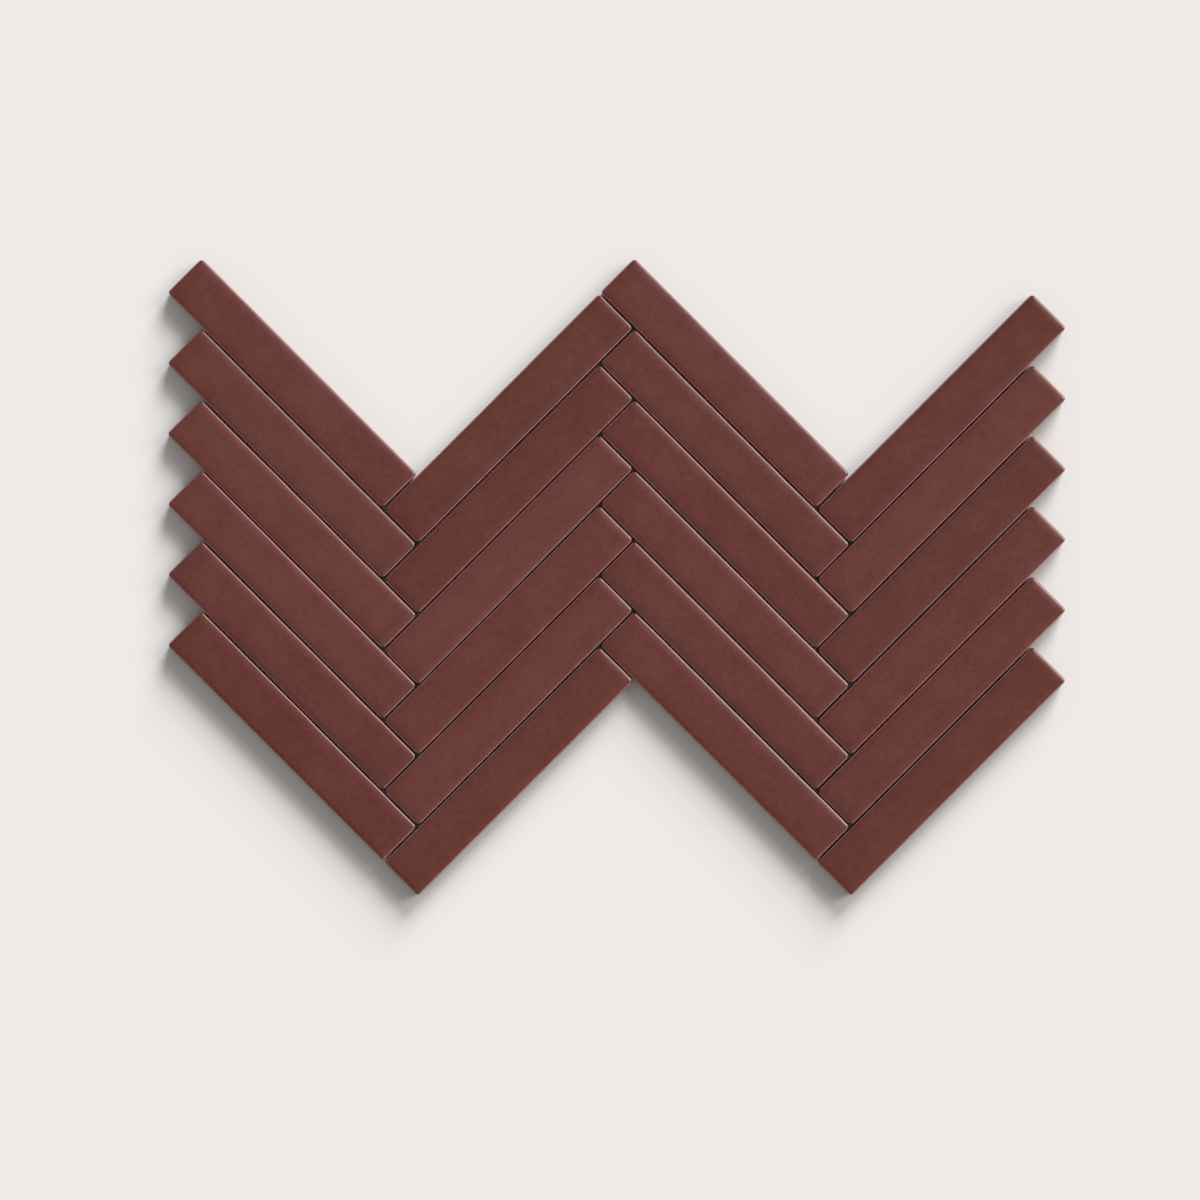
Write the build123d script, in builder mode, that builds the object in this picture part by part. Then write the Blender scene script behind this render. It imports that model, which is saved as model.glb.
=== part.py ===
"""Herringbone mosaic sheet: glazed finger tiles laid in four zigzag columns, held edge to edge
by a glass-fibre net stuck across their backs. Lies face up, +X across the columns, +Y up them."""
import os
from math import atan2, cos, degrees, floor, radians, sin, sqrt

from build123d import *

# One pressed and glazed finger tile, in millimetres
tile_length = 145.25
tile_width = 23.25
tile_thickness = 8.0
corner_radius = 2.0     # plan corners of the pressing
arris_radius = 0.9      # where the glaze wraps from the face to the sides
roll_width = 3.5        # band along every edge where the face slopes away
roll_drop = 0.5         # how far it has fallen where the arris starts

# Keying recesses pressed into the back of each tile
recess_count = 3
recess_width = 3.2
recess_pitch = 6.0
recess_depth = 0.5
recess_end = 9.0        # plain back left at each end of a recess

# The sheet
column_count = 4
row_count = 6
joint_width = 0.5

# The net: flat yarns in two layers, stuck to the backs and cut just inside the tiles
yarn_width = 0.8
yarn_thickness = 0.25
yarn_pitch = 8.0
net_margin = 3.0        # from the tiles' outer edges to the cut ends of the yarns
shortest_yarn = 8.0     # offcuts shorter than this fall away when the net is trimmed

length_pitch = tile_length + joint_width
width_pitch = tile_width + joint_width
column_pitch = length_pitch / sqrt(2)
row_pitch = width_pitch * sqrt(2)
net_thickness = 2 * yarn_thickness

# Tiles lean one way and the other by columns, and every second column sits half a row lower
places = {}
for column in range(column_count):
    odd = column % 2
    for row in range(row_count):
        x = (column - (column_count - 1) / 2) * column_pitch
        y = ((row_count - 1) / 2 - row) * row_pitch + (0.25 - 0.5 * odd) * row_pitch
        places[f"tile_col{column + 1}_row{row + 1}"] = Location((x, y, 0), (0, 0, 90 * odd - 45))

# The arris is two facets, from upright to the slope of the rolled band
roll_angle = degrees(atan2(roll_drop, roll_width))
arris_turn = radians(90 - roll_angle)
middle_in = arris_radius * (1 - cos(arris_turn / 2))
middle_up = arris_radius * sin(arris_turn / 2)
edge_in = arris_radius * (1 - cos(arris_turn))
edge_up = arris_radius * sin(arris_turn)
# The upper facet runs on to the height of the face, for the rolled bands to be cut from
top_in = edge_in + roll_drop * (edge_in - middle_in) / (edge_up - middle_up)

back = net_thickness
top = back + tile_thickness
shoulder = top - roll_drop - edge_up

# One tile, centred, with its back on the net
with BuildPart() as tile:
    for inward, height in ((0, back), (0, shoulder), (middle_in, shoulder + middle_up), (top_in, top)):
        with BuildSketch(Plane.XY.offset(height)):
            RectangleRounded(tile_length - 2 * inward, tile_width - 2 * inward, corner_radius)
    loft(ruled=True)

    # The face slopes away along all four edges
    for turn, span in ((0, tile_length), (90, tile_width), (180, tile_length), (270, tile_width)):
        flat_end = Location((span / 2 - edge_in - roll_width, 0, 0), (0, roll_angle, 0))
        split(bisect_by=Plane(Location((0, 0, top), (0, 0, turn)) * flat_end), keep=Keep.BOTTOM)

    # Keying recesses run lengthwise and stop short of the ends
    with BuildSketch(Plane.XY.offset(back)):
        with GridLocations(0, recess_pitch, 1, recess_count):
            Rectangle(tile_length - 2 * recess_end, recess_width)
    extrude(amount=recess_depth, mode=Mode.SUBTRACT)

# The area the net covers: the whole zigzag field of tiles, drawn in by the margin
with BuildSketch() as field:
    for place in places.values():
        with Locations(place):
            Rectangle(length_pitch, width_pitch)
    offset(amount=-net_margin - joint_width / 2, kind=Kind.INTERSECTION, mode=Mode.REPLACE)
field_size = field.sketch.bounding_box().size
yarns_across = floor(field_size.X / 2 / yarn_pitch)
yarns_up = floor(field_size.Y / 2 / yarn_pitch)


def runs(start, end):
    """Where a straight yarn from start to end lies over the tiles, long enough to stay stuck."""
    line = Edge.make_line(start, end)
    pieces = line.intersect(field.sketch.face())
    return [piece for piece in pieces.edges() if piece.length > shortest_yarn]


# Upper yarns, against the tile backs, run up the sheet
with BuildPart() as net_upper:
    with BuildSketch(Plane.XY.offset(yarn_thickness)):
        for count in range(-yarns_across, yarns_across + 1):
            x = count * yarn_pitch
            for run in runs((x, -field_size.Y), (x, field_size.Y)):
                with Locations(run.center()):
                    Rectangle(yarn_width, run.length)
    extrude(amount=yarn_thickness)

# Lower yarns cross beneath them and meet the wall or floor
with BuildPart() as net_lower:
    with BuildSketch():
        for count in range(-yarns_up, yarns_up + 1):
            y = count * yarn_pitch
            for run in runs((-field_size.X, y), (field_size.X, y)):
                with Locations(run.center()):
                    Rectangle(run.length, yarn_width)
    extrude(amount=yarn_thickness)

os.makedirs("parts", exist_ok=True)

for name, place in places.items():
    laid = tile.part.moved(place)
    laid.label = name
    export_step(laid, f"parts/{name}.step")

net_upper.part.label = "net_upper_yarns"
export_step(net_upper.part, "parts/net_upper_yarns.step")

net_lower.part.label = "net_lower_yarns"
export_step(net_lower.part, "parts/net_lower_yarns.step")
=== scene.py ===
"""A herringbone mosaic sheet of oxblood finger tiles on a glass-fibre net, seen from straight above."""
import math
import random

import bmesh
import bpy
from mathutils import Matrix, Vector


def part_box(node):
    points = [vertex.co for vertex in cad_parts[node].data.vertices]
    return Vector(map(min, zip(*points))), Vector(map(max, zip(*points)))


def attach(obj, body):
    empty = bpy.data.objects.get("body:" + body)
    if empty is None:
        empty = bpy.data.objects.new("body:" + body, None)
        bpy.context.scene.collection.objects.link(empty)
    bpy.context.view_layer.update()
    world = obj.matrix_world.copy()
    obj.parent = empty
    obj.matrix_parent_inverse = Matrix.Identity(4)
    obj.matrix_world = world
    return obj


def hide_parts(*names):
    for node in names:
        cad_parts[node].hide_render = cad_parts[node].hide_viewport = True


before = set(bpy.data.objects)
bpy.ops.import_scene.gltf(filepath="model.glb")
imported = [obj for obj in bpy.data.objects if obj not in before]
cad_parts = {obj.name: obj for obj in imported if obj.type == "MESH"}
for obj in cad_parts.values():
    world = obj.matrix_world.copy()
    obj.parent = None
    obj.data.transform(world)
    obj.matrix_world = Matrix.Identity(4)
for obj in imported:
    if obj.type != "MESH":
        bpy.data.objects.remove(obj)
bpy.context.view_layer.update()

# Glass-fibre net
# Flat yarns of off-white glass fibre, laid in two crossing layers, stiffened with resin and glued
# across the backs of the tiles. They are cut a little inside the tiles' outer edges.
mm = 0.001
yarn_round = 0.1 * mm
yarn_wander = 0.5 * mm      # how far a yarn strays from side to side
wander_length = 30 * mm
bend_pitch = 4 * mm         # how often a yarn may bend
strand_relief = 0.05 * mm
yarn_grey = (0.42, 0.4, 0.34, 1)
yarn_white = (0.66, 0.64, 0.58, 1)


class Wire:
    """A socket of a material: sums on it add Math nodes, and add() adds a node of any kind."""

    def __init__(self, tree, socket=None):
        self.tree = tree
        self.socket = socket

    def add(self, kind, settings, inputs, output=0):
        node = self.tree.nodes.new(kind)
        for name, value in settings.items():
            setattr(node, name, value)
        for name, value in inputs.items():
            if isinstance(value, Wire):
                self.tree.links.new(value.socket, node.inputs[name])
            else:
                node.inputs[name].default_value = value
        return Wire(self.tree, node.outputs[output])

    def into(self, socket):
        self.tree.links.new(self.socket, socket)

    def __add__(self, other):
        return self.add("ShaderNodeMath", {"operation": "ADD"}, {0: self, 1: other})

    def __sub__(self, other):
        return self.add("ShaderNodeMath", {"operation": "SUBTRACT"}, {0: self, 1: other})

    def __rsub__(self, other):
        return self.add("ShaderNodeMath", {"operation": "SUBTRACT"}, {0: other, 1: self})

    def __mul__(self, other):
        return self.add("ShaderNodeMath", {"operation": "MULTIPLY"}, {0: self, 1: other})

    __radd__ = __add__
    __rmul__ = __mul__


def new_material(name):
    """A material, its shader, and a wire that carries where on the piece a point lies."""
    material = bpy.data.materials.new(name)
    material.use_nodes = True
    where = Wire(material.node_tree).add("ShaderNodeTexCoord", {}, {}, "Object")
    return material, material.node_tree.nodes["Principled BSDF"], where


def patches(where, per_metre, detail):
    """Soft random patches, about so many to the metre."""
    return where.add("ShaderNodeTexNoise", {}, {"Vector": where, "Scale": per_metre, "Detail": detail})


def blend(amount, colour_a, colour_b):
    """A mix of two colours, from the first at 0 to the second at 1."""
    return amount.add("ShaderNodeMix", {"data_type": "RGBA"}, {0: amount, 6: colour_a, 7: colour_b}, 2)


def relief(height, strength, distance):
    """Bumps that are too fine to model."""
    sockets = {"Strength": strength, "Distance": distance, "Height": height}
    return height.add("ShaderNodeBump", {}, sockets, "Normal")


def pick(kind, wanted):
    """Select only those vertices, edges or faces of the mesh being edited that are wanted."""
    bpy.ops.mesh.select_mode(type=kind)
    bpy.ops.mesh.select_all(action="DESELECT")
    shape = bmesh.from_edit_mesh(bpy.context.object.data)
    for part in {"VERT": shape.verts, "EDGE": shape.edges, "FACE": shape.faces}[kind]:
        if wanted(part):
            part.select_set(True)
    bmesh.update_edit_mesh(bpy.context.object.data)


def only(thing):
    """Make one object the only selected one, and the active one."""
    bpy.ops.object.select_all(action="DESELECT")
    thing.select_set(True)
    bpy.context.view_layer.objects.active = thing


def cut(distances, normal):
    """Cut the whole mesh being edited across, at these distances along the normal."""
    for distance in distances:
        bpy.ops.mesh.select_all(action="SELECT")
        bpy.ops.mesh.bisect(plane_co=[distance * part for part in normal], plane_no=normal)


yarn_material, shader, where = new_material("glass_fibre_yarn")
strands = patches(where, 3200, 2)
resin = patches(where, 140, 3)
blend(strands * 0.6 + resin * 0.4, yarn_grey, yarn_white).into(shader.inputs["Base Color"])
(0.8 - resin * 0.4).into(shader.inputs["Roughness"])
relief(strands, 0.5, strand_relief).into(shader.inputs["Normal"])

wander = bpy.data.textures.new("yarn_wander", "CLOUDS")
wander.noise_scale = wander_length
wander.noise_depth = 1

for layer, along, across in (("lower", (1, 0, 0), "Y"), ("upper", (0, 1, 0), "X")):
    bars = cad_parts[f"net_{layer}_yarns"]
    yarns = bpy.data.objects.new(f"glass_fibre_yarns_{layer}", bars.data.copy())
    yarns.data.materials.clear()
    yarns.data.materials.append(yarn_material)
    bpy.context.collection.objects.link(yarns)
    only(yarns)
    bpy.ops.object.mode_set(mode="EDIT")
    bpy.ops.mesh.select_all(action="SELECT")
    bpy.ops.mesh.remove_doubles(threshold=0.01 * mm)
    bpy.ops.mesh.tris_convert_to_quads()
    bpy.ops.mesh.bevel(offset=yarn_round, segments=2, affect="EDGES")
    far_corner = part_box(f"net_{layer}_yarns")[1]
    bends = math.floor(max(far_corner.x, far_corner.y) / bend_pitch)
    cut([(count + 0.5) * bend_pitch for count in range(-bends, bends)], along)
    bpy.ops.object.mode_set(mode="OBJECT")
    bend = yarns.modifiers.new("wander", "DISPLACE")
    bend.texture = wander
    bend.texture_coords = "LOCAL"
    bend.direction = across
    bend.strength = yarn_wander
    bpy.ops.object.modifier_apply(modifier=bend.name)
    bpy.ops.object.shade_smooth_by_angle(angle=math.radians(50))
    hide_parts(f"net_{layer}_yarns")
    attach(yarns, "root")

# Glazed finger tiles
# Each is a stick of pressed stoneware, its face rolling off to every edge, with three keying
# recesses in a bare back. Face and sides are dipped in satin oxblood glaze and fired.
corner_radius = 2 * mm
arris_radius = 0.8 * mm
foot_radius = 0.35 * mm
# The face falls towards its edges in rings: how wide each is, and how far it drops
roll_rings = (
    (1.9 * mm, 0.57 * mm),
    (0.9 * mm, 0.135 * mm),
    (1.2 * mm, 0.09 * mm),
    (1.6 * mm, 0.03 * mm),
)
recess_pitch = 6 * mm
recess_width = 3.2 * mm
recess_depth = 0.5 * mm
recess_end = 9 * mm         # plain back left at each end of a recess
recess_side = 3 * mm        # and at least this much along each side
cross_cut = 4.2 * mm        # how often the tile is cut across, to let it waver
waver_band = 0.8 * mm       # how far in from its edges it wavers
sink_band = 1.5 * mm        # how far down from its top it may sink
near = 0.05 * mm            # what differs by less than this is level
# Where the glaze gathers most is also where the painted shade near the edges is deepest
pool_and_shade_from_edge = 5 * mm     # where the glaze gathers most
pool_and_shade_spread = 2.5 * mm
glaze_relief = 0.06 * mm
dark_glaze = (0.095, 0.0201, 0.0143, 1)
light_glaze = (0.1285, 0.0353, 0.0271, 1)
# Pooled glaze, darkened further as painted shade in a band in from the edges
pooled_glaze_and_painted_shade = (0.08, 0.0182, 0.0128, 1)
# Sides in painted shade, dark so that the joints between tiles read black
side_glaze_in_painted_shade = (0.025, 0.0075, 0.0065, 1)
# Pale thin glaze over the arris, which also serves as a painted highlight on the edges
thin_glaze_and_painted_highlight = (0.42, 0.2, 0.185, 1)
dark_clay = (0.34, 0.2, 0.13, 1)
light_clay = (0.45, 0.29, 0.2, 1)

tile_low, tile_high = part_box("tile_col1_row1")
spots = [vertex.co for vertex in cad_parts["tile_col1_row1"].data.vertices]
lengthwise = [(spot.x - spot.y) / math.sqrt(2) for spot in spots]
widthwise = [(spot.x + spot.y) / math.sqrt(2) for spot in spots]
half_length = (max(lengthwise) - min(lengthwise)) / 2
half_width = (max(widthwise) - min(widthwise)) / 2
back = tile_low.z
top = tile_high.z
edge_height = top - sum(drop for width, drop in roll_rings)

# One tile is modelled lying along X, then copied to all its places
bpy.ops.mesh.primitive_cube_add(size=1, location=(0, 0, (back + edge_height) / 2))
master = bpy.context.object
master.scale = (2 * half_length, 2 * half_width, edge_height - back)
bpy.ops.object.transform_apply(location=True, rotation=False, scale=True)
bpy.ops.object.mode_set(mode="EDIT")

pick("EDGE", lambda edge: abs(edge.verts[0].co.z - edge.verts[1].co.z) > near)
bpy.ops.mesh.bevel(offset=corner_radius, segments=6, affect="EDGES", clamp_overlap=False)


def along_rim(edge, facing):
    """Whether an edge parts the sides from the face (facing 1) or from the back (facing -1)."""
    tilts = sorted(facing * face.normal.z for face in edge.link_faces)
    return abs(tilts[0]) < 0.3 and tilts[1] > 0.8


def is_flat_top(face):
    return face.normal.z > 0.9999


pick("FACE", is_flat_top)
width, drop = roll_rings[0]
bpy.ops.mesh.inset(thickness=width, depth=drop)
pick("EDGE", lambda edge: along_rim(edge, 1))
bpy.ops.mesh.bevel(offset=arris_radius, segments=4, affect="EDGES", clamp_overlap=False)
pick("EDGE", lambda edge: along_rim(edge, -1))
bpy.ops.mesh.bevel(offset=foot_radius, segments=2, affect="EDGES", clamp_overlap=False)

# Inside the first ring the corners have shrunk to points, and the other rings follow square
pick("FACE", is_flat_top)
bpy.ops.mesh.remove_doubles(threshold=8 * near)
for width, drop in roll_rings[1:]:
    pick("FACE", is_flat_top)
    bpy.ops.mesh.inset(thickness=width, depth=drop)

# Cuts along the recesses' sides, then across the tile and round it
recess_lines = [recess_width / 2, recess_pitch - recess_width / 2, recess_pitch + recess_width / 2]
cut([side * line for side in (-1, 1) for line in recess_lines], (0, 1, 0))
recess_reach = half_length - recess_end
steps = round(2 * recess_reach / cross_cut)
cut([recess_reach * (2 * count / steps - 1) for count in range(steps + 1)], (1, 0, 0))
cut([back + 2 * mm, back + 4.5 * mm], (0, 0, 1))


def from_edge(spot):
    return min(half_length - abs(spot.x), half_width - abs(spot.y))


def over_recess(face):
    spot = face.calc_center_median()
    beside = abs(spot.y) % recess_pitch
    return (face.normal.z < -0.9 and abs(spot.x) < recess_reach and abs(spot.y) < half_width - recess_side
            and min(beside, recess_pitch - beside) < recess_width / 2)


pick("FACE", over_recess)
bpy.ops.mesh.extrude_region_move(TRANSFORM_OT_translate={"value": (0, 0, recess_depth)})
bpy.ops.mesh.select_all(action="SELECT")
bpy.ops.mesh.normals_make_consistent(inside=False)
bpy.ops.object.mode_set(mode="OBJECT")

smooth = master.modifiers.new("smooth", "SUBSURF")
smooth.levels = 1
smooth.render_levels = 1
bpy.ops.object.modifier_apply(modifier=smooth.name)
bpy.ops.object.shade_smooth_by_angle(angle=math.radians(40))

# Sides and arris may waver in plan, the face may sink a little
wavering = master.vertex_groups.new(name="sides")
sinking = master.vertex_groups.new(name="face")
for vertex in master.data.vertices:
    if from_edge(vertex.co) < waver_band:
        wavering.add([vertex.index], 1, "REPLACE")
    if vertex.co.z > top - sink_band:
        sinking.add([vertex.index], 1, "REPLACE")


def pooling_and_shade(gap):
    """How much more glaze gathers, and how much painted shade falls, at this distance from an edge."""
    return math.exp(-((gap - pool_and_shade_from_edge) / pool_and_shade_spread) ** 2)


# Two values the glaze goes by: millimetres from the nearest edge, and its pooling with painted shade
edge_values = master.data.attributes.new("rim", "FLOAT", "POINT")
edge_values.data.foreach_set("value", [from_edge(vertex.co) / mm for vertex in master.data.vertices])
pool_and_shade_values = master.data.attributes.new("pool_and_shade", "FLOAT", "POINT")
pool_and_shade_values.data.foreach_set("value", [
    max(pooling_and_shade(half_length - abs(vertex.co.x)), 0.4 * pooling_and_shade(half_width - abs(vertex.co.y)))
    for vertex in master.data.vertices
])

glaze, shader, where = new_material("oxblood_glaze_on_stoneware")
height = where.add("ShaderNodeSeparateXYZ", {}, {"Vector": where}, "Z")
tone = where.add("ShaderNodeAttribute", {"attribute_name": "tone"}, {}, "Fac")
rim = where.add("ShaderNodeAttribute", {"attribute_name": "rim"}, {}, "Fac")
pool_and_shade = where.add("ShaderNodeAttribute", {"attribute_name": "pool_and_shade"}, {}, "Fac")
cloud = patches(where, 60, 4)
mottle = patches(where, 420, 4)
grain = patches(where, 1500, 2)


def ramp(value, low, high):
    """Rises smoothly from 0 at the low value to 1 at the high one."""
    return value.add(
        "ShaderNodeMapRange",
        {"interpolation_type": "SMOOTHSTEP"},
        {"Value": value, "From Min": low, "From Max": high},
    )


# The face is mottled, and darker a few millimetres in from the edges: pooled glaze and painted shade
depth = cloud * 0.3 + mottle * 0.35 + grain * 0.35 + tone * 0.075
colour = blend(ramp(depth, 0.32, 0.68), dark_glaze, light_glaze)
colour = blend(pool_and_shade * cloud * 0.65, colour, pooled_glaze_and_painted_shade)
# Painted shade darkens the sides, most just below the arris; the glaze is thin and pale over the arris
shoulder = ramp(height, top - 1.25 * mm, top - 0.95 * mm)
# The painted shade on the sides eases off towards the foot
flank = 1 - ramp(height, back + 3.5 * mm, top - 1.7 * mm)
colour = blend(0.2 + shoulder * 0.8 + flank * 0.4, side_glaze_in_painted_shade, colour)
# The pale break over the arris is partly the glaze's own colour and partly a painted highlight
breaking_and_highlight = shoulder * (1 - ramp(rim, 0.3, 0.8))
colour = blend(breaking_and_highlight * (0.5 + mottle * 0.6), colour, thin_glaze_and_painted_highlight)
# It stops in an uneven line above the foot, and the back with its recesses is bare clay
foot = 1 - ramp(height + (cloud - 0.5) * (0.6 * mm), back + 0.3 * mm, back + 0.45 * mm)
underside = ramp(rim, 1.5, 2.5) * (1 - ramp(height, back + 1 * mm, back + 2 * mm))
bare = 1 - (1 - foot) * (1 - underside)
colour = blend(bare, colour, blend(mottle, dark_clay, light_clay))
colour.into(shader.inputs["Base Color"])
(0.27 + cloud * 0.1 + grain * 0.06 + bare * 0.4).into(shader.inputs["Roughness"])
relief(mottle * 0.7 + grain * 0.3, 0.35, glaze_relief).into(shader.inputs["Normal"])
master.data.materials.append(glaze)

waver = bpy.data.textures.new("side_waver", "CLOUDS")
waver.noise_scale = 11 * mm
waver.noise_depth = 2
sink = bpy.data.textures.new("face_sink", "CLOUDS")
sink.noise_scale = 22 * mm
sink.noise_depth = 1

# Every copy is a touch shorter, narrower and skewed than the pressing die, so none outgrows its place
place_slack = 0.1 * mm
skew = 0.08                 # degrees either way
length_loss = (0.03 * mm, 0.12 * mm)
width_loss = (0, 0.04 * mm)
# What changes a copy: the texture, where it acts, which way, how far, and the level that stays put
changes = (
    (waver, "sides", "NORMAL", 0.16 * mm, 0.8),
    (sink, "face", "Z", 0.1 * mm, 1),
)
tiles = []
dice = random.Random(24)
for node in sorted(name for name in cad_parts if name.startswith("tile_")):
    low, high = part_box(node)
    middle = (low + high) / 2
    column = int(node[len("tile_col")])
    lean = 45 if column % 2 == 0 else -45
    tile = bpy.data.objects.new(f"glazed_{node}", master.data.copy())
    for group in master.vertex_groups:
        tile.vertex_groups.new(name=group.name)
    bpy.context.collection.objects.link(tile)
    tile.location = (
        middle.x - math.copysign(dice.uniform(0, place_slack), middle.x),
        middle.y - math.copysign(dice.uniform(0, place_slack), middle.y),
        0,
    )
    tile.rotation_euler.z = math.radians(lean + dice.uniform(-skew, skew))
    tile.scale.x = 1 - dice.uniform(*length_loss) / half_length
    tile.scale.y = 1 - dice.uniform(*width_loss) / half_width
    only(tile)
    bpy.ops.object.transform_apply(location=True, rotation=True, scale=True)
    for texture, group, direction, strength, level in changes:
        change = tile.modifiers.new(texture.name, "DISPLACE")
        change.texture = texture
        change.texture_coords = "LOCAL"
        change.vertex_group = group
        change.direction = direction
        change.strength = strength
        change.mid_level = level
        bpy.ops.object.modifier_apply(modifier=change.name)
    tone_values = tile.data.attributes.new("tone", "FLOAT", "POINT")
    tone_values.data.foreach_set("value", [dice.uniform(-1, 1)] * len(tile.data.vertices))
    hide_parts(node)
    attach(tile, "root")
    tiles.append(tile)
bpy.data.objects.remove(master)

# Table, lamps and camera
# The sheet lies face up on a pale matt table, in even light from all round. Two lamps at the upper
# right throw its shadow on the table. One at the right and a weak one opposite light the tiles.
table_dull = (0.856, 0.824, 0.8, 1)
table_bright = (0.866, 0.834, 0.81, 1)
sky_strength = 0.32

bpy.ops.mesh.primitive_plane_add(size=8, location=(0, 0, -0.05 * mm))
table = bpy.context.object
table.name = "table_top"
paper, shader, where = new_material("pale_matt_table")
blend(patches(where, 30, 3), table_dull, table_bright).into(shader.inputs["Base Color"])
shader.inputs["Roughness"].default_value = 1
shader.inputs["Specular IOR Level"].default_value = 0
table.data.materials.append(paper)

lit_table = bpy.data.collections.new("lit_table")
lit_table.objects.link(table)
lit_tiles = bpy.data.collections.new("lit_tiles")
for tile in tiles:
    lit_tiles.objects.link(tile)

# Each lamp's bearing from +X, rise and spread in degrees, its share of the light, what it lights,
# and whether the glaze gleams with it
lamps = (
    (64, 21.5, 28, 0.48, lit_table, False),
    (27, 33, 28, 0.2, lit_table, False),
    (22, 26, 40, 0.72, lit_tiles, True),
    (215, 24, 40, 0.13, lit_tiles, False),
)
for bearing, rise, spread, share, lit, gleams in lamps:
    bpy.ops.object.light_add(type="SUN", rotation=(0, math.radians(90 - rise), math.radians(bearing)))
    lamp = bpy.context.object
    lamp.data.energy = share * math.pi / math.sin(math.radians(rise))
    lamp.data.angle = math.radians(spread)
    lamp.light_linking.receiver_collection = lit
    lamp.visible_glossy = gleams

world = bpy.data.worlds.new("soft_room")
bpy.context.scene.world = world
world.use_nodes = True
sky = world.node_tree.nodes["Background"]
sky.inputs["Color"].default_value = (1, 1, 1, 1)
sky.inputs["Strength"].default_value = sky_strength

# The camera looks straight down, at a point a little left of and below the middle of the sheet
seen_width = 570.5 * mm     # what the picture takes in at the height of the tile faces
aim_x = -8 * mm
aim_y = -10.8 * mm
lens = 150
sensor = 36
distance = seen_width * lens / sensor
bpy.ops.object.camera_add(location=(aim_x, aim_y, top + distance), rotation=(0, 0, 0))
camera = bpy.context.object
camera.data.lens = lens
camera.data.sensor_width = sensor
bpy.context.scene.camera = camera
bpy.context.scene.view_settings.view_transform = "Standard"
